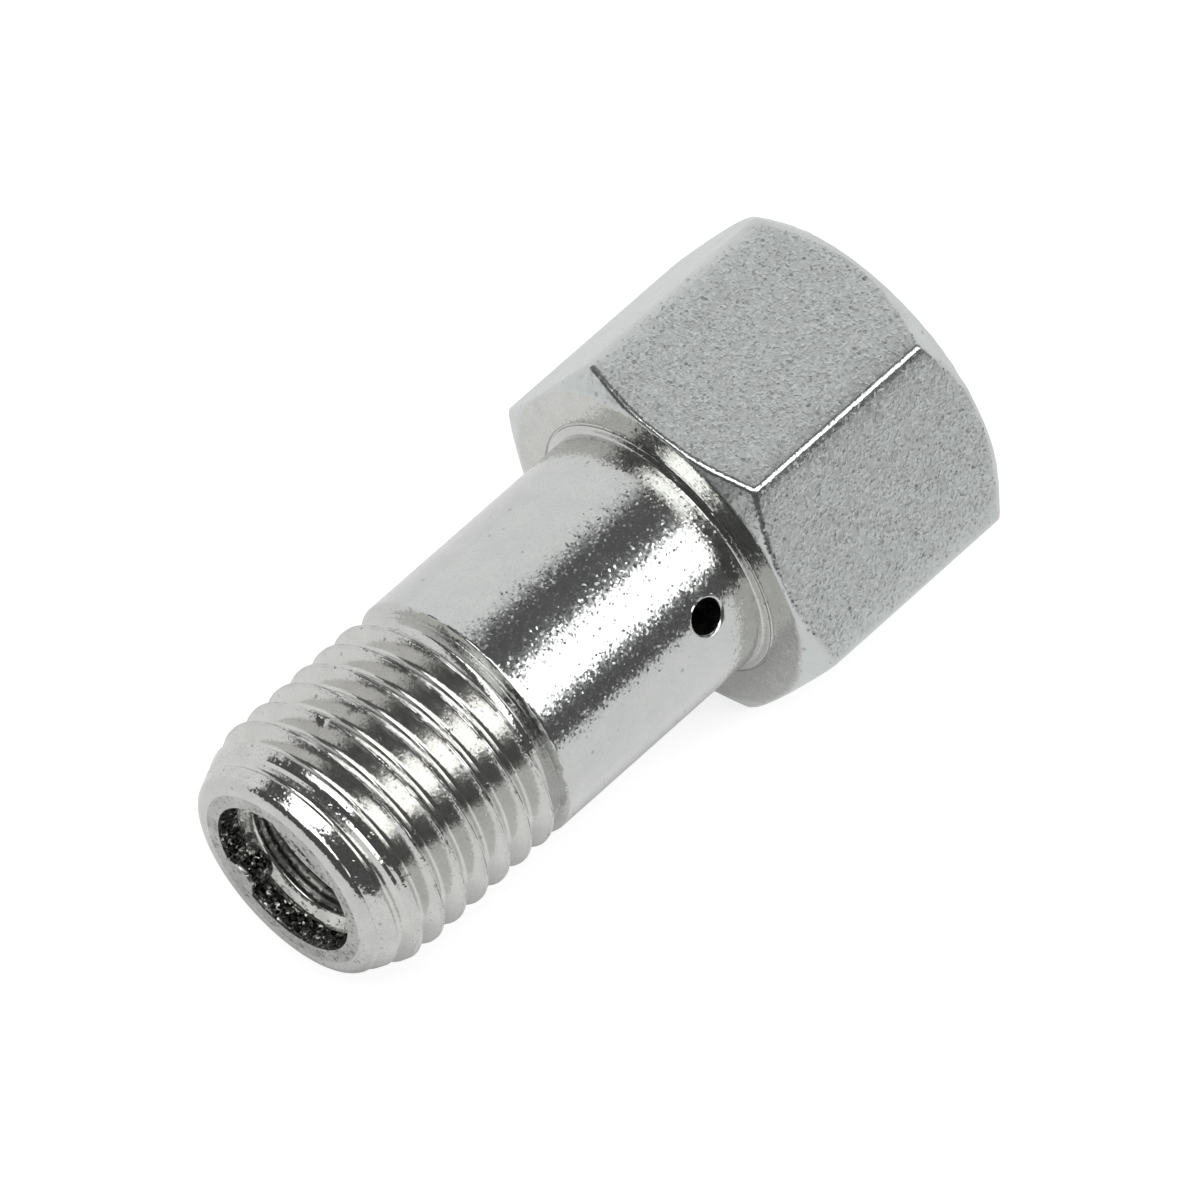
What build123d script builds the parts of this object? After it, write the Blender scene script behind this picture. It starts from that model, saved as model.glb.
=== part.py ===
from build123d import *
from math import radians, sqrt, tan
import os

# Banjo bolt, M14 x 1.5 with a hexagon for a 19 mm spanner and a seat ring
# staked into its mouth, lying on one flat of the hexagon. Millimetres. Each
# piece is made upright about the Z axis, with the tip of the thread at Z = 0
# and the head on top, and is then laid down so that the tip points to -X. The
# part's origin is on the surface that it lies on, under its middle.

# Overall
total_length = 40.0
length_under_head = 26.0

# Hexagon head
across_flats = 18.8
corner_rounding = 0.5
seat_diameter = 18.7
seat_chamfer_angle = 30.0
end_face_diameter = 18.6
end_chamfer_angle = 45.0

# Thread
thread_diameter = 13.86
thread_root_diameter = 12.16
thread_pitch = 1.5
thread_angle = 60.0
thread_crest_width = 0.17
thread_last_crest = 11.04
thread_start_azimuth = -155.4

# Tip and lead-in
tip_diameter = 11.5
tip_edge_radius = 0.62
lead_in_diameter = 13.5
lead_in_length = 2.3
lead_in_run_out = 0.6

# Relief between the thread and the shank
relief_diameter = 11.8
relief_start = 11.4
relief_end = 12.0
relief_shoulder = 12.55

# Smooth shank and its narrow neck under the head
shank_diameter = 13.86
neck_start = 25.84
neck_end = 25.95
neck_diameter = 14.7
seat_groove_diameter = 15.0
seat_groove_depth = 0.1

# Bore and the outlet hole across it
bore_diameter = 8.5
bore_depth = 24.6
drill_point_angle = 118.0
outlet_diameter = 1.8
outlet_countersink = 0.18
outlet_height = 23.0
outlet_azimuth = -120.0

# Seat ring, pressed into the mouth of the bore
ring_rim_height = 1.22
ring_length = 1.6
ring_hole_diameter = 6.9
ring_face_depth = 0.38

# Stakes, the lips punched over the rim of the ring
stake_top = 0.08
stake_taper = 0.6
stake_root = 0.1
wide_stake_radius = 2.8
wide_stake_reach = 2.87
wide_stake_azimuth = -158.4
narrow_stake_radius = 1.2
narrow_stake_reach = 3.45
narrow_stake_azimuth = 44.6
chisel_mark_distance = 3.76
chisel_mark_length = 1.5
chisel_mark_width = 0.26
chisel_mark_depth = 0.7

# How far blanks and cutting shapes run past the finished surfaces
overrun = 1.0
tool_overrun = 0.3


def turned(outline):
    """A solid turned about Z from an outline of (radius, height) points."""
    points = [(radius, 0, height) for radius, height in outline]
    return revolve(make_face(Polyline(points, close=True)), Axis.Z)


def bar(diameter, bottom, top):
    """A plain round bar on the Z axis, from one height to another."""
    upwards = (Align.CENTER, Align.CENTER, Align.MIN)
    return Pos(0, 0, bottom) * Cylinder(diameter / 2, top - bottom, align=upwards)


def thread_space(bottom, turns):
    """The helical space that a threading tool leaves between the ridges."""
    crest_radius = thread_diameter / 2
    root_radius = thread_root_diameter / 2
    tool_radius = crest_radius + tool_overrun
    flank_slope = tan(radians(thread_angle / 2))
    half_at_crest = (thread_pitch - thread_crest_width) / 2
    half_at_root = half_at_crest - (crest_radius - root_radius) * flank_slope
    half_at_tool = half_at_crest + (tool_radius - crest_radius) * flank_slope
    section = Polyline(
        (root_radius, 0, -half_at_root),
        (tool_radius, 0, -half_at_tool),
        (tool_radius, 0, half_at_tool),
        (root_radius, 0, half_at_root),
        close=True,
    )
    path = Helix(thread_pitch, turns * thread_pitch, root_radius)
    space = sweep(make_face(section), path, is_frenet=True)
    return Pos(0, 0, bottom) * Rot(0, 0, thread_start_azimuth) * space


def threaded_end():
    """A long threaded bar, turned down to the tip and its lead-in."""
    bar_bottom = -5.0
    bar_top = 18.0
    turns_on_bar = 12
    turns_past_crest = 3.5
    space_bottom = thread_last_crest - (turns_on_bar - turns_past_crest) * thread_pitch
    space = thread_space(space_bottom, turns_on_bar)
    threaded_bar = bar(thread_diameter, bar_bottom, bar_top) - space
    outline = turned([
        (0, 0),
        (tip_diameter / 2, 0),
        (lead_in_diameter / 2, lead_in_length),
        (thread_diameter / 2, lead_in_length + lead_in_run_out),
        (thread_diameter, lead_in_length + lead_in_run_out),
        (thread_diameter, relief_start),
        (0, relief_start),
    ])
    tip_edge = outline.edges().group_by(Axis.Z)[0]
    return threaded_bar & fillet(tip_edge, tip_edge_radius)


def shank():
    """The relief behind the thread, the smooth shank and its neck."""
    relief_radius = relief_diameter / 2
    shank_radius = shank_diameter / 2
    neck_radius = neck_diameter / 2
    inside_head = length_under_head + overrun
    return turned([
        (0, relief_start),
        (relief_radius, relief_start),
        (relief_radius, relief_end),
        (shank_radius, relief_shoulder),
        (shank_radius, neck_start),
        (neck_radius, neck_end),
        (neck_radius, inside_head),
        (0, inside_head),
    ])


def head():
    """The hexagon, chamfered at both ends, with a groove inside its seat."""
    height = total_length - length_under_head
    groove_radius = seat_groove_diameter / 2
    seat_radius = seat_diameter / 2
    end_radius = end_face_diameter / 2
    outside_radius = across_flats / sqrt(3) + overrun
    seat_rise = (outside_radius - seat_radius) * tan(radians(seat_chamfer_angle))
    end_drop = (outside_radius - end_radius) * tan(radians(end_chamfer_angle))
    hexagon = RegularPolygon(across_flats / 2, 6, major_radius=False, rotation=30)
    hexagon = extrude(fillet(hexagon.vertices(), corner_rounding), height)
    chamfers = turned([
        (0, seat_groove_depth),
        (groove_radius, seat_groove_depth),
        (groove_radius, 0),
        (seat_radius, 0),
        (outside_radius, seat_rise),
        (outside_radius, height - end_drop),
        (end_radius, height),
        (0, height),
    ])
    return Pos(0, 0, length_under_head) * (hexagon & chamfers)


def bore():
    """The blind hole drilled from the tip to just past the outlet."""
    bore_radius = bore_diameter / 2
    drill_point = bore_radius / tan(radians(drill_point_angle / 2))
    return turned([
        (0, -overrun),
        (bore_radius, -overrun),
        (bore_radius, bore_depth),
        (0, bore_depth + drill_point),
    ])


def outlet():
    """The countersunk hole drilled from the shank's side into the bore."""
    outlet_radius = outlet_diameter / 2
    surface = shank_diameter / 2
    outside = surface + overrun
    drill = turned([
        (0, 0),
        (outlet_radius, 0),
        (outlet_radius, surface - outlet_countersink),
        (outlet_radius + outlet_countersink + overrun, outside),
        (0, outside),
    ])
    across = Rot(0, 0, outlet_azimuth) * Rot(0, 90, 0)
    return Pos(0, 0, outlet_height) * across * drill


def seat_ring():
    """The ring in the mouth, dished in front and open in the middle."""
    outer_radius = bore_diameter / 2
    hole_radius = ring_hole_diameter / 2
    return turned([
        (outer_radius, ring_rim_height),
        (hole_radius, ring_rim_height + ring_face_depth),
        (hole_radius, ring_rim_height + ring_length),
        (outer_radius, ring_rim_height + ring_length),
    ])


def stake(azimuth, radius, reach):
    """A lip of the tip's own metal, pushed in over the rim of the ring."""
    bottom = ring_rim_height + ring_face_depth
    height = bottom - stake_top
    lip = Cone(radius, radius - stake_taper, height)
    lip = Rot(0, 0, azimuth) * Pos(reach + radius, 0, (stake_top + bottom) / 2) * lip
    return lip & bar(bore_diameter + 2 * stake_root, 0, bottom)


def chisel_mark():
    """The narrow slot that the punch left behind the wide stake."""
    slot = Box(chisel_mark_width, chisel_mark_length, 2 * chisel_mark_depth)
    return Rot(0, 0, wide_stake_azimuth) * Pos(chisel_mark_distance, 0, 0) * slot


def bolt_body():
    """The whole turned body, threaded, drilled and staked."""
    body = threaded_end() + shank() + head() - bore() - outlet()
    body += stake(wide_stake_azimuth, wide_stake_radius, wide_stake_reach)
    body += stake(narrow_stake_azimuth, narrow_stake_radius, narrow_stake_reach)
    return body - seat_ring() - chisel_mark()


def laid_down(piece):
    """The piece on its side, tip to -X, resting on one flat of the hexagon."""
    return Pos(-total_length / 2, 0, across_flats / 2) * Rot(0, 90, 0) * piece


os.makedirs("parts", exist_ok=True)
export_step(laid_down(bolt_body()), "parts/bolt_body.step")
export_step(laid_down(seat_ring()), "parts/seat_ring.step")
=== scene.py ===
import bmesh
import bpy
import numpy as np
from mathutils import Matrix, Vector


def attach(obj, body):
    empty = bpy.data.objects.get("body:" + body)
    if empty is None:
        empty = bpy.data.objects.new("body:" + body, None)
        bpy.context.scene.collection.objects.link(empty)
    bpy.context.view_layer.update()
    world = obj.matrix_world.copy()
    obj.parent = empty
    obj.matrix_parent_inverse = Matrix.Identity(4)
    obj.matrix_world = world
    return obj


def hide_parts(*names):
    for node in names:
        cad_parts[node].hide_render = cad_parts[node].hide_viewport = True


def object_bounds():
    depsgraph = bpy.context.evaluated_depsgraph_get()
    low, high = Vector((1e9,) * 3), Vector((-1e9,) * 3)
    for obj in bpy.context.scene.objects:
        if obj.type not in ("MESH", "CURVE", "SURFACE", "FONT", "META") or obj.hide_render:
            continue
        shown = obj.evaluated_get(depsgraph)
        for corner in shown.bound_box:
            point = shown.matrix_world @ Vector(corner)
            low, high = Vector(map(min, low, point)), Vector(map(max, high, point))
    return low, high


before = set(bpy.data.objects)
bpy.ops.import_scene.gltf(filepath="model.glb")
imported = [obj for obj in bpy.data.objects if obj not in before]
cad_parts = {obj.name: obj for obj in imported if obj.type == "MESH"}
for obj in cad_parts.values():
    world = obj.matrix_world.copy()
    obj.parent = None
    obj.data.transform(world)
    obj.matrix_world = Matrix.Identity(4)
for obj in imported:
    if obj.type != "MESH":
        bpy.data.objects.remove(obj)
cad_box = [list(corner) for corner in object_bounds()]

# The looks of the banjo bolt: one fine mesh for the turned body, with its
# helical thread, and one for the seat ring staked into its mouth. Lengths are
# in millimetres along the bolt, x from the tip and r from the axis, and an
# azimuth goes round the axis from straight down. place() turns them into the
# frame's metres.

MM = 0.001


def extent(axis):
    """The part's size along one axis of the frame, in millimetres."""
    return round((cad_box[1][axis] - cad_box[0][axis]) / MM, 3)


LENGTH = extent(0)
AXIS_HEIGHT = extent(2) / 2

# Hexagon head. From ROLL_OFF_START beside its middle, a flat falls away by
# ROLL_OFF up to the corner. EDGE_REACH is how far an edge's rounding reaches.
FLAT = AXIS_HEIGHT
CORNER_ROUNDING = 0.34
ROLL_OFF = 0.05
ROLL_OFF_START = 4.0
HEAD_START = 26.0
SEAT_RADIUS = 9.35
SEAT_SLOPE = np.tan(np.radians(30))
END_RADIUS = 9.3
END_SLOPE = np.tan(np.radians(45))
EDGE_REACH = 0.22
RIM_WANDER = 0.012
FACE_WANDER = 0.02

# Tip, with the turned lead-in that the thread fades out on
TIP_RADIUS = 5.75
TIP_EDGE = 0.62
LEAD_IN = 6.75
LEAD_IN_LENGTH = 2.3
RUN_OUT = 0.6

# Thread. FLANK is how far a flank runs along the bolt for each millimetre out.
# The last ridge's crest passes LAST_CREST at the azimuth THREAD_ZERO.
PITCH = 1.5
CREST = 6.93
ROOT = 6.03
CREST_HALF = 0.085
FLANK = np.tan(np.radians(33))
ROOT_FILLET = 0.115
ROOT_RISE = 0.03
LAST_CREST = 11.04
THREAD_ZERO = np.radians(-155.43)
THREAD_START = 0.45
THREAD_END = 11.4
TURNS_BEFORE_LAST = 8
TURNS_AFTER_LAST = 1

# The lip raised along each edge of the crest: the stretch of the bolt over which
# it grows to full size, how far in from the edge its outer side, peak and inner
# side are, how much lower these sides and the edge are than its peak, and how
# uneven the peak is. Where the lip hasn't grown, its rows move in by a share of
# the wider land.
LIP_GROWTH = (2.4, 3.2)
LIP_OUTER, LIP_PEAK, LIP_INNER = 0.02, 0.045, 0.065
LIP_OUTER_DROP, LIP_INNER_DROP, EDGE_DROP = 0.014, 0.012, 0.05
LIP_WANDER = 0.012
LAND_SHARE = 0.2
# The low middle of the crest, and how uneven its depth and its line are
DIP = 0.05
DIP_WANDER = 0.03
MIDDLE_WANDER = 0.012
# The nick in the third ridge: it ends between two angles to either side of its
# middle, and cuts only what stands further out than NICK_FOOT
NICK_X = 4.6
NICK_AZIMUTH = np.radians(164.6)
NICK_REACH = (0.01, 0.05)
NICK_FOOT = 6.45
NICK_DEPTH = 0.14

# Relief behind the thread, the shank with its burr and turned rings (x and
# depth), the neck and the groove inside the seat
RELIEF = 5.9
RELIEF_START = 11.42
RELIEF_END = 12.1
SHANK = CREST
SHANK_START = 12.53
BURR = 0.01
NECK_RINGS = ((24.95, 0.001), (25.1, 0.0016), (25.24, 0.001))
NECK_RING_HALF = 0.035
NECK_START = 25.84
NECK_END = 25.95
NECK = 7.35
GROOVE = 7.5
GROOVE_DEPTH = 0.1

# Bore, and the outlet hole across it. The hole's wall has rows at the distances
# OUTLET_DEPTHS from the axis. Each grid that the hole pierces reaches so far to
# either side of its middle, along the bolt and in columns round it.
BORE = 4.25
BORE_END = 24.6
DRILL_HALF_ANGLE = np.radians(59)
OUTLET_X = 23.0
OUTLET_AZIMUTH = np.radians(-120.0)
OUTLET_RADIUS = 0.9
OUTLET_SINK = 0.18
OUTLET_DEPTHS = (6.5, 6.2, 5.6)
BORE_GRID, BORE_GRID_COLUMNS = 1.4, 14
SHANK_GRID, SHANK_GRID_COLUMNS = 1.45, 9

# Stakes: azimuth, radius of the lip, how near the axis it reaches, how much it
# draws back over its depth, and how far the face sinks over it. STAKE_BLEND is
# how softly a lip joins the round wall.
STAKES = ((np.radians(-158.4), 2.8, 2.87, 0.6, 0.14), (np.radians(44.6), 1.2, 3.45, 0.04, 0.02))
STAKE_TOP = 0.08
STAKE_DEPTH = 1.6
STAKE_BLEND = 0.25
# The sunken face beside a stake ends over these angles and radii
SUNK_ANGLES = (0.9, 1.5)
SUNK_RADII = (3.0, 4.4)
# The mouth's wall lies between these depths, and the plain face starts at this radius
MOUTH_WALL = (1.75, 0.3)
FACE_START = 4.5
# The chisel mark behind the wide stake: its distance from the axis, its lean, the
# half widths and half lengths that its sides slope between, and its depth
MARK_DISTANCE = 3.76
MARK_LEAN = np.radians(12)
MARK_HALF_WIDTH = (0.07, 0.15)
MARK_HALF_LENGTH = (0.62, 0.8)
MARK_DEPTH = 0.55

# Seat ring. RING_DISH is how much deeper its hole's edge lies than its rim.
RING_TOP = 1.22
RING_LENGTH = 1.6
RING_GAP = 0.005
RING_HOLE = 3.45
RING_DISH = 0.38
RING_STEPS = (0.2, 0.62)

# Floor: its grey, darker close to the bolt as a painted contact shadow, changes
# over these distances from its middle, to the bolt's side and past its ends
PAINTED_SHADOW_BESIDE = (4.0, 9.0)
PAINTED_SHADOW_BEYOND = (20.0, 25.0)

# Studio, on a level plane overhead with the plane's height as the unit. An edge
# of the softbox or of the sweep fades between two places, along the view or
# across it.
VIEW_ACROSS = Vector((0.6861, -0.7275, 0.0)).normalized()
VIEW_ALONG = Vector((0.7275, 0.6861, 0.0)).normalized()
BOX_ALONG = ((-0.64, -0.56), (0.0, 0.06))
BOX_ACROSS = ((-0.95, -0.85), (3.4, 3.9))
SWEEP_START = (0.5, 0.72)
BOX_LIGHT = 3.25
SWEEP_LIGHT = 1.0
BASE_LIGHT = 0.12

# Camera: its lens in millimetres, and its place in the frame's metres
CAMERA_LENS = 458.73
CAMERA_PLACE = Vector((-0.2939, -0.2788, 0.6192))
CAMERA_FORWARD = Vector((0.4036, 0.3804, -0.8321)).normalized()
CAMERA_RIGHT = Vector((0.6861, -0.7275, 0.0002)).normalized()

# The meshes. The columns are closer over the hexagon's rounded corners, each of
# which takes up ARC to either side of its middle. A head end's rows are so many
# on its face, then on its chamfer, and the rest on its rim. Points in the same
# cell, of which a metre has WELD_CELLS, are merged.
SECTOR = np.radians(60)
FIRST_CORNER = np.radians(-150)
CORNER_COLUMNS = 5
FLAT_COLUMNS = 41
ARC = SECTOR / 2 - np.arctan((FLAT - CORNER_ROUNDING) * np.tan(SECTOR / 2) / FLAT)
FACE_ROWS = 5
CHAMFER_ROWS = 6
SHARP_ANGLE = float(np.radians(38))
WELD_CELLS = 1e8


def columns():
    """Azimuths of the meshes' columns, corner by corner."""
    corner = np.linspace(0, ARC, CORNER_COLUMNS)
    flat = np.linspace(ARC, SECTOR - ARC, FLAT_COLUMNS + 2)[1:-1]
    sector = np.concatenate([corner, flat, SECTOR - corner[:0:-1]])
    start = FIRST_CORNER + SECTOR * np.arange(6)
    return (start[:, None] + sector).ravel()


AZIMUTHS = columns()
COLUMNS = len(AZIMUTHS)
# The outlet is over the middle of the first flat
OUTLET_COLUMN = COLUMNS // 12


def hexagon(azimuth):
    """Distance from the axis to the hexagon's rounded outline."""
    half = SECTOR / 2
    off = np.abs(azimuth % SECTOR - half)
    centre = (FLAT - CORNER_ROUNDING) / np.cos(half)
    across = np.maximum(CORNER_ROUNDING**2 - (centre * np.sin(off))**2, 0)
    corner = centre * np.cos(off) + np.sqrt(across)
    flat = FLAT / np.cos(half - off)
    beside = FLAT * np.tan(half - off)
    drop = np.maximum(beside - ROLL_OFF_START, 0) / (FLAT * np.tan(half) - ROLL_OFF_START)
    return np.where(off < ARC, corner, flat) - ROLL_OFF * drop**2


HEX_RADII = hexagon(AZIMUTHS)
# The columns over the rounded corners
ON_CORNER = np.abs(AZIMUTHS % SECTOR - SECTOR / 2) < ARC * 1.01


def place(x, r, azimuth):
    """Points of the row frame, in metres, from bolt coordinates."""
    x, r, azimuth = np.broadcast_arrays(x, r, azimuth)
    up = AXIS_HEIGHT - r * np.cos(azimuth)
    return np.stack([x - LENGTH / 2, r * np.sin(azimuth), up], -1) * MM


def angle_from(start, azimuth):
    """The angle from start to azimuth, between minus and plus half a turn."""
    return np.angle(np.exp(1j * (azimuth - start)))


def wander(cycles, seed):
    """A smooth closed random line of about unit size, with so many cycles."""
    random = np.random.default_rng(seed)
    size = random.normal(size=cycles) / np.sqrt(cycles)
    phase = random.uniform(0, 2 * np.pi, cycles)
    return sum(size[k] * np.sin((k + 1) * AZIMUTHS + phase[k]) for k in range(cycles)) * 1.4


def smooth_step(value, low, high):
    """0 up to low, 1 from high on, and a smooth rise between them."""
    t = np.clip((value - low) / (high - low), 0, 1)
    return t * t * (3 - 2 * t)


class Surface:
    """Rows of vertices round the axis, and the faces between them."""

    def __init__(self):
        self.points = []
        self.faces = []
        self.materials = []
        self.count = 0

    def add(self, points):
        """Adds points and returns their numbers."""
        first = self.count
        self.points.append(points)
        self.count += len(points)
        return np.arange(first, self.count)

    def row(self, x, r):
        """Adds a point in every column."""
        return self.add(place(np.broadcast_to(x, COLUMNS), r, AZIMUTHS))

    def face(self, corners, material):
        self.faces.append([int(v) for v in corners])
        self.materials.append(material)

    def quads(self, a, b, material, skip=()):
        """Faces between two loops of points; skip holds the columns left open."""
        following_a, following_b = np.roll(a, -1), np.roll(b, -1)
        material = np.broadcast_to(material, len(a))
        for c in range(len(a)):
            if c not in skip:
                self.face([a[c], following_a[c], following_b[c], b[c]], int(material[c]))

    def rows(self, outline, material, last=None):
        """Adds a row for each (x, r) and joins them, on from the row last."""
        for x, r in outline:
            new = self.row(x, r)
            if last is not None:
                self.quads(last, new, material)
            last = new
        return last

    def welded(self):
        """Points with doubles merged and unused ones left out, and faces without flat ones."""
        points = np.concatenate(self.points)
        cells = np.round(points * WELD_CELLS).astype(np.int64)
        _, keep, index = np.unique(cells, axis=0, return_index=True, return_inverse=True)
        index = index.ravel()
        faces, materials = [], []
        for corners, material in zip(self.faces, self.materials):
            merged = [int(v) for v in index[corners]]
            face = [v for n, v in enumerate(merged) if v != merged[n - 1]]
            if len(face) > 2 and len(set(face)) == len(face):
                faces.append(face)
                materials.append(material)
        used = np.unique(np.concatenate([np.array(face) for face in faces]))
        number = np.zeros(len(keep), int)
        number[used] = np.arange(len(used))
        faces = [[int(number[v]) for v in face] for face in faces]
        return points[keep][used], faces, materials


def mesh_object(name, surface, materials):
    """An object from a surface, smooth but for its sharper edges."""
    points, faces, indices = surface.welded()
    mesh = bpy.data.meshes.new(name)
    mesh.from_pydata(points.tolist(), [], faces)
    for material in materials:
        mesh.materials.append(material)
    mesh.polygons.foreach_set("material_index", np.array(indices, np.int32))
    mesh.polygons.foreach_set("use_smooth", np.ones(len(faces), bool))
    edit = bmesh.new()
    edit.from_mesh(mesh)
    for edge in edit.edges:
        if len(edge.link_faces) == 2:
            edge.smooth = edge.calc_face_angle(0) < SHARP_ANGLE
    edit.to_mesh(mesh)
    edit.free()
    made = bpy.data.objects.new(name, mesh)
    bpy.context.scene.collection.objects.link(made)
    return made


# ---------------------------------------------------------------- the thread

def lead_in(x):
    """Radius of the turned tip that the thread fades out on."""
    ends = [0, LEAD_IN_LENGTH, LEAD_IN_LENGTH + RUN_OUT, LENGTH]
    return np.interp(x, ends, [TIP_RADIUS, LEAD_IN, CREST, CREST])


def along_helix(crest, seed):
    """A smooth random value that runs on along the thread's helix."""
    count = 9
    turn = crest / PITCH
    total = np.zeros_like(crest)
    random = np.random.default_rng(seed)
    for k in range(count):
        cycles = 1.7 + 2.9 * k + random.uniform(0, 1)
        total += np.sin(2 * np.pi * cycles * turn + random.uniform(0, 6.28)) / np.sqrt(count)
    return total


def between(a, b, share):
    """The point that lies so far along the way from a to b."""
    return tuple(p + (q - p) * share for p, q in zip(a, b))


def crest_edges(crest, foot):
    """The crest's front and back edge, which move apart where the lead-in cuts it lower."""
    front = crest - CREST_HALF
    back = crest + CREST_HALF
    # Each pass moves an edge closer to where its flank meets the lead-in
    for _ in range(6):
        front = crest - CREST_HALF - (CREST - lead_in(front)) * FLANK
        back = crest + CREST_HALF + (CREST - lead_in(back)) * FLANK
    return np.maximum(front, crest - foot), np.minimum(back, crest + foot)


def lip(edge, inward, spread, whole, uneven):
    """The rows over one lip, from the crest's edge in; inward is 1 or -1 along x."""
    top = lead_in(edge)
    return [
        (edge + inward * (LIP_OUTER + spread * 0.5), top - LIP_OUTER_DROP * whole),
        (edge + inward * (LIP_PEAK + spread), top + uneven * whole),
        (edge + inward * (LIP_INNER + spread * 1.2), top - LIP_INNER_DROP * whole),
    ]


def crest_top(crest, front, back, whole):
    """The rows from the front lip over the crest's low middle to the back lip."""
    spread = LAND_SHARE * (back - front) * (1 - whole)
    uneven = LIP_WANDER * along_helix(crest, 3)
    dip = whole * (DIP + DIP_WANDER * along_helix(crest, 5))
    middle = crest + MIDDLE_WANDER * along_helix(crest * 3.1, 11)
    front_lip = lip(front, 1, spread, whole, uneven)
    back_lip = lip(back, -1, spread, whole, uneven)
    return front_lip + [(middle, lead_in(crest) - dip)] + back_lip[::-1]


def nicked(crest, rows):
    """The rows kept within the lead-in, with the one nick cut into its ridge."""
    beside = np.abs(angle_from(NICK_AZIMUTH, AZIMUTHS))
    nick = (1 - smooth_step(beside, *NICK_REACH)) * (np.abs(crest - NICK_X) < PITCH / 2)
    cut = []
    for x, r in rows:
        high = smooth_step(r, NICK_FOOT, CREST)
        cut.append((x, np.minimum(r, lead_in(x)) - NICK_DEPTH * nick * high))
    return cut


def thread_turn(base):
    """The rows of one pitch, root to root, about the crest that starts at base."""
    crest = base + PITCH * (AZIMUTHS - THREAD_ZERO) / (2 * np.pi)
    foot = CREST_HALF + (CREST - ROOT) * FLANK
    front, back = crest_edges(crest, foot)
    whole = smooth_step(crest, *LIP_GROWTH)
    run = ROOT_FILLET * 0.5
    front_foot = (crest - foot + run, ROOT + run / FLANK)
    back_foot = (crest + foot - run, ROOT + run / FLANK)
    front_edge = (front, lead_in(front) - EDGE_DROP * whole)
    back_edge = (back, lead_in(back) - EDGE_DROP * whole)
    rows = [
        (crest - PITCH / 2, ROOT),
        (crest - foot - ROOT_FILLET, ROOT),
        (crest - foot - ROOT_FILLET * 0.15, ROOT + ROOT_RISE),
        front_foot,
        between(front_foot, front_edge, 0.1),
        between(front_foot, front_edge, 0.9),
        front_edge,
        *crest_top(crest, front, back, whole),
        back_edge,
        between(back_edge, back_foot, 0.1),
        between(back_edge, back_foot, 0.9),
        back_foot,
        (crest + foot + ROOT_FILLET * 0.15, ROOT + ROOT_RISE),
        (crest + foot + ROOT_FILLET, ROOT),
    ]
    return nicked(crest, rows)


TURN_ROWS = len(thread_turn(LAST_CREST))
# The rows of a turn that faces of the crest's material start from: the upper
# end of the front flank, both lips and what lies between them
CREST_ROWS = range(5, 14)


def thread_rows():
    """All rows of the thread between its two end planes."""
    turns = []
    for k in range(TURNS_BEFORE_LAST, -TURNS_AFTER_LAST - 1, -1):
        turns += thread_turn(LAST_CREST - PITCH * k)
    x = np.array([row[0] for row in turns])
    r = np.array([row[1] for row in turns])
    for c in range(COLUMNS):
        low = np.searchsorted(x[:, c], THREAD_START)
        high = np.searchsorted(x[:, c], THREAD_END)
        start_r = np.interp(THREAD_START, x[:, c], r[:, c])
        end_r = np.interp(THREAD_END, x[:, c], r[:, c])
        x[:low, c], r[:low, c] = THREAD_START, start_r
        x[high:, c], r[high:, c] = THREAD_END, end_r
    return x, r


def add_thread(surface, last, zone):
    """The helical rows; at the seam each row meets the one a pitch further on."""
    x, r = thread_rows()
    rows = [surface.row(x[i], r[i]) for i in range(len(x))]
    surface.quads(last, rows[0], zone["thread"])
    end = len(rows) - 1
    for i in range(end):
        a, b = rows[i], rows[i + 1]
        material = zone["crest"] if i % TURN_ROWS in CREST_ROWS else zone["thread"]
        for c in range(COLUMNS - 1):
            surface.face([a[c], a[c + 1], b[c + 1], b[c]], material)
        a_next = rows[min(i + TURN_ROWS, end)][0]
        b_next = rows[min(i + 1 + TURN_ROWS, end)][0]
        surface.face([a[-1], a_next, b_next, b[-1]], material)
    return rows[end]


# ------------------------------------------------------- mouth and tip

def mouth_radius(x):
    """Radius of the mouth's wall, pushed in by the stakes, at depth x."""
    wall = np.full(COLUMNS, BORE)
    for azimuth, radius, reach, taper, _ in STAKES:
        lip_radius = radius - taper * (x - STAKE_TOP) / (STAKE_DEPTH - STAKE_TOP)
        centre = reach + radius
        off = angle_from(azimuth, AZIMUTHS)
        inside = lip_radius**2 - (centre * np.sin(off))**2
        near = (inside > 0) & (np.abs(off) < np.pi / 2)
        # Beside the stake its edge is put far out, where it leaves the wall alone
        far_out = 2 * BORE
        edge = np.where(near, centre * np.cos(off) - np.sqrt(np.maximum(inside, 0)), far_out)
        share = np.clip(0.5 + 0.5 * (wall - edge) / STAKE_BLEND, 0, 1)
        wall = wall + (edge - wall) * share - STAKE_BLEND * share * (1 - share)
    return wall


def sunk(r):
    """How deep the tip's face lies where the stakes drew it in."""
    total = np.zeros(COLUMNS)
    for azimuth, _, _, _, depth in STAKES:
        off = np.abs(angle_from(azimuth, AZIMUTHS))
        total += depth * (1 - smooth_step(off, *SUNK_ANGLES)) * (1 - smooth_step(r, *SUNK_RADII))
    return total


def tip_face(t):
    """A row of the tip's face: t runs from the mouth's edge to the plain face."""
    rim = mouth_radius(STAKE_TOP)
    r = rim + (FACE_START - rim) * t
    off = angle_from(STAKES[0][0], AZIMUTHS)
    across = r * np.cos(off) - MARK_DISTANCE
    along = r * np.sin(off)
    u = across * np.cos(MARK_LEAN) + along * np.sin(MARK_LEAN)
    v = along * np.cos(MARK_LEAN) - across * np.sin(MARK_LEAN)
    within_width = 1 - smooth_step(np.abs(u), *MARK_HALF_WIDTH)
    within_length = 1 - smooth_step(np.abs(v), *MARK_HALF_LENGTH)
    return MARK_DEPTH * (within_width * within_length) + sunk(r), r


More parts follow.
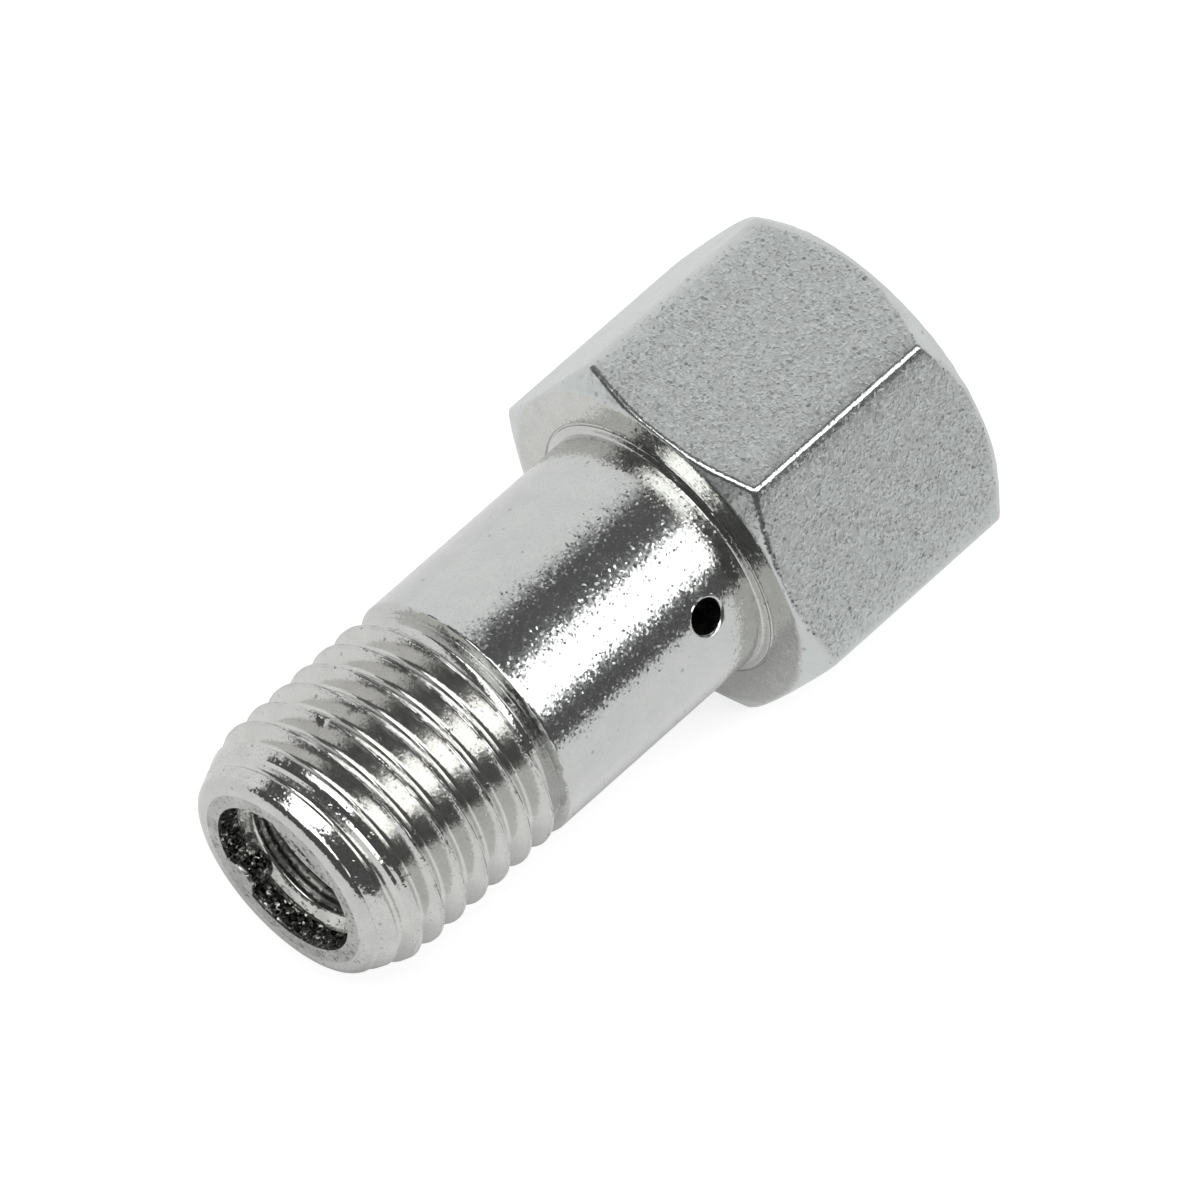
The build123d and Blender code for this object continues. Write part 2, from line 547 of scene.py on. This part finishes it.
def tip_edge():
    """The quarter-round between the tip's face and the lead-in."""
    cone = np.arctan((LEAD_IN - TIP_RADIUS) / LEAD_IN_LENGTH)
    turn = np.pi / 2 - cone
    centre = TIP_RADIUS - TIP_EDGE * np.tan(turn / 2)
    angles = np.linspace(0, turn, 9)
    return [(TIP_EDGE * (1 - np.cos(t)), centre + TIP_EDGE * np.sin(t)) for t in angles]


def add_mouth(surface, last, zone):
    """The mouth's wall from the seat ring up, its edge and the tip's face."""
    wall = [(x, mouth_radius(x)) for x in np.linspace(*MOUTH_WALL, 9)]
    rim = mouth_radius(STAKE_TOP)
    wall += [(0.2 + sunk(rim), rim)]
    last = surface.rows(wall, zone["mouth"], last)
    face = [(0.14 + sunk(rim), rim + 0.006), (STAKE_TOP + sunk(rim), rim + 0.0175)]
    face += [tip_face(t) for t in np.linspace(0.05, 1, 13)]
    face += [(0.0, FACE_START + 0.2), (0.0, FACE_START + 0.5)]
    last = surface.rows(face, zone["tip"], last)
    return surface.rows(tip_edge(), zone["cone"], last)


# ------------------------------------------------------- bore and outlet

def close_to_hole(surface, rows, first, final, radius, rim, material):
    """Closes the gap between two columns of a grid down to a round hole's rim."""
    top = [rows[0][c] for c in range(first, final)]
    right = [row[final] for row in rows[:-1]]
    bottom = [rows[-1][c] for c in range(final, first, -1)]
    left = [row[first] for row in rows[:0:-1]]
    loop = np.array(top + right + bottom + left)
    points = np.concatenate(surface.points)[loop] / MM
    x = points[:, 0] + LENGTH / 2
    azimuth = np.arctan2(points[:, 1], AXIS_HEIGHT - points[:, 2])
    off = angle_from(OUTLET_AZIMUTH, azimuth)
    angle = np.arctan2(radius * off, x - OUTLET_X)
    rim_x = OUTLET_X + rim * np.cos(angle)
    rim_off = np.arcsin(rim * np.sin(angle) / radius)
    for share in (0.35, 0.7, 0.9, 1.0):
        new_x = x * (1 - share) + rim_x * share
        new_off = off * (1 - share) + rim_off * share
        new = surface.add(place(new_x, radius, OUTLET_AZIMUTH + new_off))
        surface.quads(loop, new, material)
        loop = new
    return loop, angle


def add_pierced(surface, last, stations, half_columns, radius, rim, material):
    """A grid with the outlet in it: its last row, the outlet's rim and the rim's angles."""
    first, final = OUTLET_COLUMN - half_columns, OUTLET_COLUMN + half_columns
    rows = [surface.row(x, radius) for x in stations]
    surface.quads(last, rows[0], material)
    for a, b in zip(rows, rows[1:]):
        surface.quads(a, b, material, skip=range(first, final))
    return rows[-1], *close_to_hole(surface, rows, first, final, radius, rim, material)


def match(inner, inner_angle, outer_angle):
    """The inner loop, run the other way round from beside the outer loop's start."""
    inner, inner_angle = inner[::-1], inner_angle[::-1]
    gap = np.abs(angle_from(outer_angle[0], inner_angle))
    return np.roll(inner, -int(np.argmin(gap)))


def add_outlet_wall(surface, outer, outer_angle, inner, inner_angle, zone):
    """The drilled hole's rounded edge and wall, from the shank to the bore."""
    stations = []
    for t in np.radians((15, 30, 45, 60, 75, 90)):
        out = SHANK - OUTLET_SINK * (1 - np.cos(t))
        stations.append((out, OUTLET_RADIUS + OUTLET_SINK * (1 - np.sin(t)), zone["turned"]))
    stations += [(out, OUTLET_RADIUS, zone["bore"]) for out in OUTLET_DEPTHS]
    last = outer
    for out, radius, material in stations:
        x = OUTLET_X + radius * np.cos(outer_angle)
        side = radius * np.sin(outer_angle)
        azimuth = OUTLET_AZIMUTH + np.arctan2(side, out)
        new = surface.add(place(x, np.hypot(out, side), azimuth))
        surface.quads(last, new, material)
        last = new
    surface.quads(last, match(inner, inner_angle, outer_angle), zone["bore"])


# ---------------------------------------------------------------- the head

def in_columns(corners):
    """The (x, r) corners of a bent line, each with a value in every column."""
    return [np.stack(np.broadcast_arrays(x, r, AZIMUTHS)[:2]) for x, r in corners]


def rounded(corners, places):
    """Points at distances along a bent line, whose corners are rounded off.

    Each point is the mean of the line over a short reach to either side, which
    rounds what turns within it.
    """
    corners = in_columns(corners)
    start = corners[0]
    total = np.zeros_like(start)
    shifts = np.linspace(-EDGE_REACH, EDGE_REACH, 13)
    for shift in shifts:
        point = start.copy()
        passed = 0
        for a, b in zip(corners, corners[1:]):
            length = np.maximum(np.hypot(*(b - a)), 1e-9)
            point = point + (b - a) / length * np.clip(places + shift - passed, 0, length)
            passed = passed + length
        total = total + point
    return total / len(shifts)


def edge_places(corners):
    """Distances for the rows: dense about the middle two of four corners."""
    corners = in_columns(corners)
    first = np.hypot(*(corners[1] - corners[0]))
    second = first + np.hypot(*(corners[2] - corners[1]))
    middle = (first + second) / 2
    near = EDGE_REACH * 1.1
    inner_first = np.minimum(first + near, middle)
    inner_second = np.maximum(second - near, middle)
    steps = np.linspace(0, 1, 8)
    places = [first - near + (inner_first - first + near) * t for t in steps]
    places += [inner_first + (inner_second - inner_first) * t for t in (0.33, 0.67)]
    places += [inner_second + (second + near - inner_second) * t for t in steps]
    return places


def head_end(face_x, face_radius, slope, inward, seed):
    """Rows over one end of the hexagon: those of its face, its chamfer and its rim."""
    rim = face_x + inward * (HEX_RADII - face_radius) * slope + RIM_WANDER * wander(70, seed)
    ragged_radius = face_radius + FACE_WANDER * wander(80, seed + 10)
    corners = [(face_x, ragged_radius - 1), (face_x, ragged_radius)]
    corners += [(rim, HEX_RADII), (rim + inward, HEX_RADII)]
    rows = [rounded(corners, distance) for distance in edge_places(corners)]
    rim_row = FACE_ROWS + CHAMFER_ROWS
    return rows[:FACE_ROWS], rows[FACE_ROWS:rim_row], rows[rim_row:]


def add_head(surface, last, zone):
    """The hexagon from its seat to its far face."""
    seat_face, seat_chamfer, seat_rim = head_end(HEAD_START, SEAT_RADIUS, SEAT_SLOPE, 1, 21)
    far_face, far_chamfer, far_rim = head_end(LENGTH, END_RADIUS, END_SLOPE, -1, 22)
    last = surface.rows(seat_face, zone["faces"], last)
    last = surface.rows(seat_chamfer, zone["flats"], last)
    last = surface.rows(seat_rim, zone["edges"], last)
    start, end = seat_rim[-1][0], far_rim[-1][0]
    sides = [(start + (end - start) * t, HEX_RADII) for t in (0.05, 0.35, 0.65, 0.95)]
    sides += far_rim[-1:]
    last = surface.rows(sides, np.where(ON_CORNER, zone["edges"], zone["flats"]), last)
    last = surface.rows(far_rim[-2::-1], zone["edges"], last)
    last = surface.rows(far_chamfer[::-1], zone["flats"], last)
    last = surface.rows(far_face[::-1], zone["faces"], last)
    return surface.rows([(LENGTH, r) for r in (8.0, 6.0, 4.0, 2.0, 0.0)], zone["faces"], last)


# ------------------------------------------------------- shank and the whole

def add_relief(surface, last, zone):
    """The relief behind the thread, with its turned steps, and the shank's start."""
    floor = [(RELIEF_START, RELIEF + 0.1), (RELIEF_START + 0.05, RELIEF + 0.03)]
    floor += [(RELIEF_START + 0.13, RELIEF), (RELIEF_END - 0.15, RELIEF)]
    floor += [(RELIEF_END - 0.07, RELIEF + 0.03), (RELIEF_END, RELIEF + 0.1)]
    steps = [(12.22, 6.27), (12.245, 6.25), (12.32, 6.41), (12.345, 6.4), (12.49, 6.86)]
    last = surface.rows(floor + steps, zone["neck"], last)
    burr = BURR * wander(50, 8)
    edge = [(SHANK_START + burr, SHANK - 0.01), (SHANK_START + 0.05 + burr, SHANK + 0.004)]
    edge += [(x, SHANK) for x in (12.7, 14.0, 17.0, 20.0)]
    return surface.rows(edge, zone["turned"], last)


def add_neck(surface, last, zone):
    """The shank's last turned rings, its neck and the groove inside the seat."""
    outline = []
    for x, depth in NECK_RINGS:
        outline += [(x - NECK_RING_HALF, SHANK), (x, SHANK - depth), (x + NECK_RING_HALF, SHANK)]
    outline += [(25.4, SHANK), (25.6, SHANK), (NECK_START - 0.06, SHANK)]
    last = surface.rows(outline, zone["neck"], last)
    step = [(NECK_START, SHANK + 0.012), (NECK_START + 0.045, SHANK + 0.07)]
    step += [(NECK_END - 0.03, NECK - 0.22), (NECK_END, NECK - 0.04), (NECK_END + 0.02, NECK)]
    floor = HEAD_START + GROOVE_DEPTH
    groove = [(HEAD_START + GROOVE_DEPTH * 0.6, NECK + 0.01), (floor, NECK + 0.05)]
    groove += [(floor, GROOVE - 0.05), (HEAD_START + 0.03, GROOVE - 0.01)]
    groove += [(HEAD_START, GROOVE + 0.03)]
    last = surface.rows(step + groove, zone["cone"], last)
    return surface.rows([(HEAD_START, 7.9), (HEAD_START, 8.3)], zone["faces"], last)


def bolt_surface(zone):
    """The whole outer and inner surface of the bolt as one closed skin."""
    surface = Surface()
    drilled_end = BORE_END + BORE / np.tan(DRILL_HALF_ANGLE)
    last = surface.rows([(drilled_end, 0.0), (BORE_END, BORE)], zone["bore"])
    stations = np.linspace(OUTLET_X + BORE_GRID, OUTLET_X - BORE_GRID, 15)
    last, inner, inner_angle = add_pierced(
        surface, last, stations, BORE_GRID_COLUMNS, BORE, OUTLET_RADIUS, zone["bore"]
    )
    last = surface.rows([(x, BORE) for x in (18.0, 12.0, 6.0, 3.0)], zone["bore"], last)
    last = add_mouth(surface, last, zone)
    last = add_thread(surface, last, zone)
    last = add_relief(surface, last, zone)
    stations = np.linspace(OUTLET_X - SHANK_GRID, OUTLET_X + SHANK_GRID, 25)
    rim = OUTLET_RADIUS + OUTLET_SINK
    last, outer, outer_angle = add_pierced(
        surface, last, stations, SHANK_GRID_COLUMNS, SHANK, rim, zone["turned"]
    )
    add_outlet_wall(surface, outer, outer_angle, inner, inner_angle, zone)
    last = add_neck(surface, last, zone)
    add_head(surface, last, zone)
    return surface


def ring_surface(face, wall):
    """The seat ring: a flat back, a hole with turned steps, a dished face."""
    surface = Surface()
    outer = BORE - RING_GAP
    back = RING_TOP + RING_LENGTH
    dish = RING_TOP + RING_DISH
    hole = [(back, outer), (back, RING_HOLE + 0.08), (back - 0.08, RING_HOLE)]
    for step in RING_STEPS[::-1]:
        x = dish + step
        hole += [(x + 0.22, RING_HOLE), (x + 0.16, RING_HOLE + 0.035)]
        hole += [(x + 0.06, RING_HOLE + 0.03), (x, RING_HOLE)]
    hole += [(dish + 0.1, RING_HOLE)]
    front = [
        (dish + 0.03, RING_HOLE + 0.01),
        (dish - 0.04, RING_HOLE + 0.08),
        (RING_TOP + RING_DISH * 0.62, outer - 0.48),
        (RING_TOP + 0.1, outer - 0.26),
        (RING_TOP + 0.02, outer - 0.12),
        (RING_TOP + 0.01, outer - 0.04),
        (RING_TOP + 0.06, outer),
        (RING_TOP + 0.5, outer),
        (back, outer),
    ]
    last = surface.rows(hole, wall)
    surface.rows(front, face, last)
    return surface


# ------------------------------------------------------------- materials

class Nodes:
    """Short names for building one node tree."""

    RANGE = ("From Min", "From Max", "To Min", "To Max")

    def __init__(self, tree, coordinates):
        self.tree = tree
        self.place = self.new("ShaderNodeTexCoord").outputs[coordinates]

    def new(self, kind, **settings):
        node = self.tree.nodes.new(kind)
        for key, value in settings.items():
            setattr(node, key, value)
        return node

    def link(self, source, target):
        self.tree.links.new(source, target)

    def fill(self, sockets, values):
        """Gives each socket its value, which is a number, a tuple or another socket."""
        for socket, value in zip(sockets, values):
            if isinstance(value, (int, float, tuple)):
                socket.default_value = value
            else:
                self.link(value, socket)

    def math(self, operation, a, b):
        node = self.new("ShaderNodeMath", operation=operation)
        self.fill(node.inputs, (a, b))
        return node.outputs[0]

    def vector(self, operation, a, b, result="Vector"):
        node = self.new("ShaderNodeVectorMath", operation=operation)
        self.fill(node.inputs, (a, b))
        return node.outputs[result]

    def ramp(self, value, low, high, from_value, to_value, kind="LINEAR"):
        """From from_value at low to to_value at high."""
        node = self.new("ShaderNodeMapRange", interpolation_type=kind)
        self.fill([node.inputs[key] for key in self.RANGE], (low, high, from_value, to_value))
        self.link(value, node.inputs["Value"])
        return node.outputs["Result"]

    def mix(self, factor, low, high):
        """A colour between two, each given as numbers or as another socket."""
        node = self.new("ShaderNodeMix", data_type="RGBA")
        self.link(factor, node.inputs["Factor"])
        ends = [(*end, 1) if isinstance(end, tuple) else end for end in (low, high)]
        self.fill((node.inputs["A"], node.inputs["B"]), ends)
        return node.outputs["Result"]

    def in_millimetres(self):
        """The place, in millimetres of the frame."""
        mapping = self.new("ShaderNodeMapping")
        mapping.inputs["Scale"].default_value = (1 / MM,) * 3
        self.link(self.place, mapping.inputs["Vector"])
        return mapping.outputs["Vector"]

    def noise(self, per_mm, detail=2.0):
        """Soft noise, with so many waves to a millimetre."""
        node = self.new("ShaderNodeTexNoise")
        node.inputs["Scale"].default_value = per_mm
        node.inputs["Detail"].default_value = detail
        self.link(self.in_millimetres(), node.inputs["Vector"])
        return node.outputs["Fac"]

    def cells(self, per_mm):
        """Small cells of random shape, so many to a millimetre."""
        node = self.new("ShaderNodeTexVoronoi")
        node.inputs["Scale"].default_value = per_mm
        self.link(self.in_millimetres(), node.inputs["Vector"])
        return node

    def grains(self, per_mm, lean, under):
        """A normal that leans its own way on each grain: a little on most, more on few.

        The lean goes with the fifth power of a random number from -0.5 to 0.5.
        """
        cell = self.cells(per_mm).outputs["Color"]
        off = self.vector("SUBTRACT", cell, (0.5, 0.5, 0.5))
        square = self.vector("MULTIPLY", off, off)
        fifth = self.vector("MULTIPLY", self.vector("MULTIPLY", square, square), off)
        return self.vector("ADD", under, self.vector("MULTIPLY", fifth, (lean / 0.5**5,) * 3))

    def pits(self, per_mm, size):
        """Scattered round pits, 1 inside and 0 outside, of very mixed sizes."""
        node = self.cells(per_mm)
        split = self.new("ShaderNodeSeparateColor")
        self.link(node.outputs["Color"], split.inputs[0])
        radius = self.math("MULTIPLY", self.math("POWER", split.outputs[0], 3.0), size)
        return self.ramp(self.math("SUBTRACT", node.outputs["Distance"], radius), -0.1, 0.05, 1, 0)

    def bump(self, height, depth_mm, under=None):
        """A bump from a height of 0 to 1 that stands for so many millimetres."""
        node = self.new("ShaderNodeBump")
        node.inputs["Distance"].default_value = depth_mm * MM
        node.inputs["Strength"].default_value = 1.0
        self.link(height, node.inputs["Height"])
        if under is not None:
            self.link(under, node.inputs["Normal"])
        return node.outputs["Normal"]

    def rings(self, per_mm, along=True):
        """Turned rings: fine waves along the bolt, or out from its axis."""
        split = self.new("ShaderNodeSeparateXYZ")
        self.link(self.place, split.inputs[0])
        if along:
            distance = split.outputs["X"]
        else:
            up = self.math("SUBTRACT", split.outputs["Z"], AXIS_HEIGHT * MM)
            side = self.math("POWER", split.outputs["Y"], 2.0)
            squares = self.math("ADD", self.math("POWER", up, 2.0), side)
            distance = self.math("SQRT", squares, 0.0)
        line = self.new("ShaderNodeTexNoise", noise_dimensions="1D")
        line.inputs["Scale"].default_value = per_mm / MM
        line.inputs["Detail"].default_value = 3.0
        self.link(distance, line.inputs["W"])
        return line.outputs["Fac"]


def new_material(name):
    """A new material, its shader, and the nodes to build it with."""
    material = bpy.data.materials.new(name)
    material.use_nodes = True
    shader = material.node_tree.nodes["Principled BSDF"]
    return material, shader, Nodes(material.node_tree, "Object")


# Patches of colour and of gloss to a millimetre, how dark a grain's speck and the
# inside of a pit are beside the dark colour, and how far the pits darken the metal's colour
COLOUR_PATCHES = 0.8
GLOSS_PATCHES = 2.5
SPECK_SHADE = 0.5
PIT_DARKNESS = 0.45
PIT_DARKENING = 0.6


def steel(name, colour, dark, gloss, grain, pits, relief):
    """Plated steel: patchy colour and gloss, small grains and scattered pits.

    gloss is the roughness and its spread. grain is the grains to a millimetre,
    how far they lean and how much darker they get. pits is the pits to a
    millimetre, their size and their depth. relief is a height in millimetres.
    """
    roughness, spread = gloss
    grains_per_mm, lean, darkening = grain
    pits_per_mm, pit_size, pit_depth = pits
    material, shader, n = new_material(name)
    shader.inputs["Metallic"].default_value = 1.0
    patch = n.mix(n.ramp(n.noise(COLOUR_PATCHES, 3.0), 0.35, 0.65, 0, 1), dark, colour)
    speck = n.ramp(n.noise(grains_per_mm, 1.0), 0.3, 0.55, darkening, 0)
    fine = n.mix(speck, patch, tuple(SPECK_SHADE * c for c in dark))
    pit = n.pits(pits_per_mm, pit_size)
    pit_colour = tuple(PIT_DARKNESS * c for c in dark)
    n.link(n.mix(n.math("MULTIPLY", pit, PIT_DARKENING), fine, pit_colour), shader.inputs["Base Color"])
    shine = n.ramp(n.noise(GLOSS_PATCHES, 3.0), 0.3, 0.7, roughness - spread, roughness + spread)
    n.link(shine, shader.inputs["Roughness"])
    pitted = n.bump(n.math("SUBTRACT", 1.0, pit), pit_depth)
    shaped = n.bump(relief(n), 1.0, under=pitted)
    n.link(n.grains(grains_per_mm, lean, shaped), shader.inputs["Normal"])
    return material


def waves(per_mm, depth, detail=2.0):
    """Relief of soft waves, so many to a millimetre."""
    return lambda n: n.math("MULTIPLY", n.noise(per_mm, detail), depth)


def dents(per_mm, depth, fine_per_mm, fine_depth):
    """Relief of scattered soft dents over a finer grain."""
    def relief(n):
        dent = n.math("MULTIPLY", n.ramp(n.noise(per_mm, 1.0), 0.54, 0.7, 0, 1), depth)
        return n.math("ADD", dent, n.math("MULTIPLY", n.noise(fine_per_mm, 1.0), fine_depth))
    return relief


def turned(per_mm, depth, along=True):
    """Relief of turned rings, so many to a millimetre."""
    return lambda n: n.math("MULTIPLY", n.rings(per_mm, along), depth)


def plated_turned():
    """The smooth shank."""
    return steel(
        "plated_turned", colour=(0.65, 0.66, 0.65), dark=(0.62, 0.632, 0.625),
        gloss=(0.16, 0.02), grain=(9.0, 0.1, 0.15), pits=(1.6, 0.2, 0.01),
        relief=turned(7.0, 0.001),
    )


def plated_neck():
    """The relief behind the thread and the shank's ringed end."""
    return steel(
        "plated_neck", colour=(0.65, 0.655, 0.64), dark=(0.61, 0.615, 0.6),
        gloss=(0.15, 0.03), grain=(10.0, 0.1, 0.15), pits=(2.0, 0.2, 0.01),
        relief=turned(9.0, 0.002),
    )


def plated_cone():
    """The tip's rounded edge, the neck's steps and the groove inside the seat."""
    return steel(
        "plated_cone", colour=(0.65, 0.655, 0.64), dark=(0.6, 0.605, 0.59),
        gloss=(0.13, 0.03), grain=(10.0, 0.12, 0.2), pits=(2.5, 0.3, 0.012),
        relief=waves(2.0, 0.004),
    )


def plated_thread():
    """The thread's flanks and roots."""
    return steel(
        "plated_thread", colour=(0.7, 0.698, 0.68), dark=(0.65, 0.648, 0.63),
        gloss=(0.15, 0.02), grain=(11.0, 0.05, 0.2), pits=(2.0, 0.25, 0.01),
        relief=waves(1.6, 0.002),
    )


def plated_crest():
    """The thread's crests."""
    return steel(
        "plated_crest", colour=(0.68, 0.68, 0.67), dark=(0.62, 0.62, 0.61),
        gloss=(0.12, 0.03), grain=(10.0, 0.1, 0.3), pits=(3.0, 0.35, 0.015),
        relief=waves(4.0, 0.004),
    )


def plated_flats():
    """The hexagon's flats and its chamfers."""
    return steel(
        "plated_flats", colour=(0.65, 0.68, 0.67), dark=(0.62, 0.645, 0.635),
        gloss=(0.3, 0.04), grain=(8.0, 0.1, 0.02), pits=(1.8, 0.28, 0.01),
        relief=dents(4.5, 0.0055, 10.0, 0.0038),
    )


def plated_edges():
    """The hexagon's corners and rims."""
    return steel(
        "plated_edges", colour=(0.66, 0.68, 0.67), dark=(0.62, 0.635, 0.625),
        gloss=(0.22, 0.04), grain=(8.0, 0.1, 0.1), pits=(2.2, 0.3, 0.01),
        relief=waves(3.5, 0.004),
    )


def plated_faces():
    """The head's two turned faces."""
    return steel(
        "plated_faces", colour=(0.65, 0.655, 0.63), dark=(0.6, 0.605, 0.58),
        gloss=(0.16, 0.04), grain=(8.0, 0.16, 0.3), pits=(2.4, 0.35, 0.012),
        relief=turned(8.0, 0.003, along=False),
    )


def plated_tip():
    """The tip's face, a little darker and more marked."""
    return steel(
        "plated_tip", colour=(0.52, 0.524, 0.51), dark=(0.42, 0.424, 0.41),
        gloss=(0.23, 0.06), grain=(7.0, 0.4, 0.25), pits=(2.4, 0.4, 0.02),
        relief=turned(5.0, 0.006, along=False),
    )


def mouth_wall():
    """The mouth's wall, torn, with near-black patches of painted shade among patches of plain
    metal colour.
    """
    return steel(
        "mouth_wall", colour=(0.6, 0.6, 0.58), dark=(0.14, 0.14, 0.135),
        gloss=(0.15, 0.06), grain=(6.0, 0.9, 0.6), pits=(3.0, 0.4, 0.03),
        relief=waves(2.2, 0.1, 4.0),
    )


def bore_wall():
    """The bore and the outlet hole's wall, painted dark all over as the shade inside them."""
    return steel(
        "bore_wall", colour=(0.35, 0.35, 0.34), dark=(0.2, 0.2, 0.19),
        gloss=(0.3, 0.06), grain=(4.0, 0.2, 0.3), pits=(2.0, 0.3, 0.01),
        relief=turned(2.0, 0.03),
    )


def ring_steel():
    """The seat ring's dished face and outside."""
    return steel(
        "ring_steel", colour=(0.7, 0.7, 0.67), dark=(0.55, 0.55, 0.53),
        gloss=(0.14, 0.03), grain=(7.0, 0.08, 0.1), pits=(1.6, 0.3, 0.006),
        relief=turned(5.0, 0.004, along=False),
    )


def ring_hole():
    """The seat ring's hole and back."""
    return steel(
        "ring_hole", colour=(0.7, 0.7, 0.67), dark=(0.45, 0.45, 0.43),
        gloss=(0.45, 0.06), grain=(6.0, 0.5, 0.3), pits=(2.5, 0.35, 0.02),
        relief=turned(4.0, 0.05),
    )


ZONES = (
    ("turned", plated_turned),
    ("neck", plated_neck),
    ("thread", plated_thread),
    ("crest", plated_crest),
    ("cone", plated_cone),
    ("flats", plated_flats),
    ("edges", plated_edges),
    ("faces", plated_faces),
    ("tip", plated_tip),
    ("mouth", mouth_wall),
    ("bore", bore_wall),
)


# ------------------------------------------------- floor, light and camera

def make_floor(name, height, reach, painted_shadow_greys, glow):
    """A wide pale floor, partly lit through from below like a light table.

    height and reach are in metres. The first of its two greys lies close under
    the bolt, where a darker one paints the bolt's contact shadow, and the second
    lies further out.
    """
    edit = bmesh.new()
    bmesh.ops.create_grid(edit, x_segments=8, y_segments=8, size=reach)
    mesh = bpy.data.meshes.new(name)
    edit.to_mesh(mesh)
    edit.free()
    floor = bpy.data.objects.new(name, mesh)
    floor.location.z = height
    bpy.context.scene.collection.objects.link(floor)
    material, shader, n = new_material(name)
    split = n.new("ShaderNodeSeparateXYZ")
    n.link(n.place, split.inputs[0])
    # Darker close under and beside the bolt: a painted contact shadow, which fades out to the
    # bolt's side and past its ends
    out = []
    for axis, (start, end) in (("Y", PAINTED_SHADOW_BESIDE), ("X", PAINTED_SHADOW_BEYOND)):
        distance = n.math("ABSOLUTE", split.outputs[axis], 0.0)
        out.append(n.ramp(distance, start * MM, end * MM, 0, 1))
    near, far = [(grey,) * 3 for grey in painted_shadow_greys]
    n.link(n.mix(n.math("MAXIMUM", *out), near, far), shader.inputs["Base Color"])
    shader.inputs["Roughness"].default_value = 1.0
    shader.inputs["Specular IOR Level"].default_value = 0.0
    shader.inputs["Emission Color"].default_value = (1, 1, 1, 1)
    shader.inputs["Emission Strength"].default_value = glow
    mesh.materials.append(material)
    return floor


def studio_light(n):
    """How bright each direction is: a long softbox overhead, a dark gap and a pale sweep."""
    def along(direction):
        return n.vector("DOT_PRODUCT", n.place, tuple(direction), result="Value")

    def rise(value, span):
        return n.ramp(value, *span, 0.0, 1.0, kind="SMOOTHSTEP")

    def fall(value, span):
        return n.ramp(value, *span, 1.0, 0.0, kind="SMOOTHSTEP")

    # Kept above 0, because the other two are divided by it
    up = n.math("MAXIMUM", along((0, 0, 1)), 0.001)
    away = n.math("DIVIDE", along(VIEW_ALONG), up)
    side = n.math("DIVIDE", along(VIEW_ACROSS), up)
    box = n.math("MULTIPLY", rise(away, BOX_ALONG[0]), fall(away, BOX_ALONG[1]))
    box = n.math("MULTIPLY", box, rise(side, BOX_ACROSS[0]))
    box = n.math("MULTIPLY", box, fall(side, BOX_ACROSS[1]))
    sweep = n.math("MULTIPLY", rise(away, SWEEP_START), SWEEP_LIGHT)
    light = n.math("ADD", n.math("MULTIPLY", box, BOX_LIGHT), sweep)
    return n.math("ADD", light, BASE_LIGHT)


def make_world():
    """The studio's light, which the camera itself sees as plain white."""
    world = bpy.data.worlds.new("studio")
    bpy.context.scene.world = world
    world.use_nodes = True
    world.node_tree.nodes.clear()
    n = Nodes(world.node_tree, "Generated")
    lit = n.new("ShaderNodeBackground")
    n.link(studio_light(n), lit.inputs["Strength"])
    seen = n.new("ShaderNodeBackground")
    seen.inputs["Strength"].default_value = 1.0
    seen.inputs["Color"].default_value = (1, 1, 1, 1)
    choose = n.new("ShaderNodeMixShader")
    n.link(n.new("ShaderNodeLightPath").outputs["Is Camera Ray"], choose.inputs["Fac"])
    n.link(lit.outputs[0], choose.inputs[1])
    n.link(seen.outputs[0], choose.inputs[2])
    n.link(choose.outputs[0], n.new("ShaderNodeOutputWorld").inputs["Surface"])


def make_camera():
    """A long lens, from above and before the tip."""
    data = bpy.data.cameras.new("camera")
    data.sensor_width = 36.0
    data.lens = CAMERA_LENS
    data.clip_start = 0.01
    data.clip_end = 20.0
    camera = bpy.data.objects.new("camera", data)
    bpy.context.scene.collection.objects.link(camera)
    up = CAMERA_RIGHT.cross(CAMERA_FORWARD)
    rotation = Matrix((CAMERA_RIGHT, up, -CAMERA_FORWARD)).transposed()
    camera.matrix_world = Matrix.Translation(CAMERA_PLACE) @ rotation.to_4x4()
    bpy.context.scene.camera = camera


make_camera()
zone_index = {name: index for index, (name, _) in enumerate(ZONES)}
bolt = mesh_object("bolt", bolt_surface(zone_index), [make() for _, make in ZONES])
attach(bolt, "root")
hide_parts("bolt_body")
ring = mesh_object("staked_seat_ring", ring_surface(0, 1), [ring_steel(), ring_hole()])
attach(ring, "root")
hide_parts("seat_ring")
# The camera sees one floor, and the metal mirrors the other, just under it; the mirrored one's
# grey is darker close to the bolt, a painted contact shadow
seen_floor = make_floor("floor", height=0.0, reach=3.0, painted_shadow_greys=(0.5, 0.5), glow=0.75)
seen_floor.visible_glossy = False
mirrored_floor = make_floor(
    "floor_for_reflections", height=-0.0001, reach=0.3, painted_shadow_greys=(0.45, 0.92), glow=0.0
)
mirrored_floor.visible_camera = False
mirrored_floor.visible_diffuse = False
make_world()
bpy.context.scene.view_settings.view_transform = "Standard"
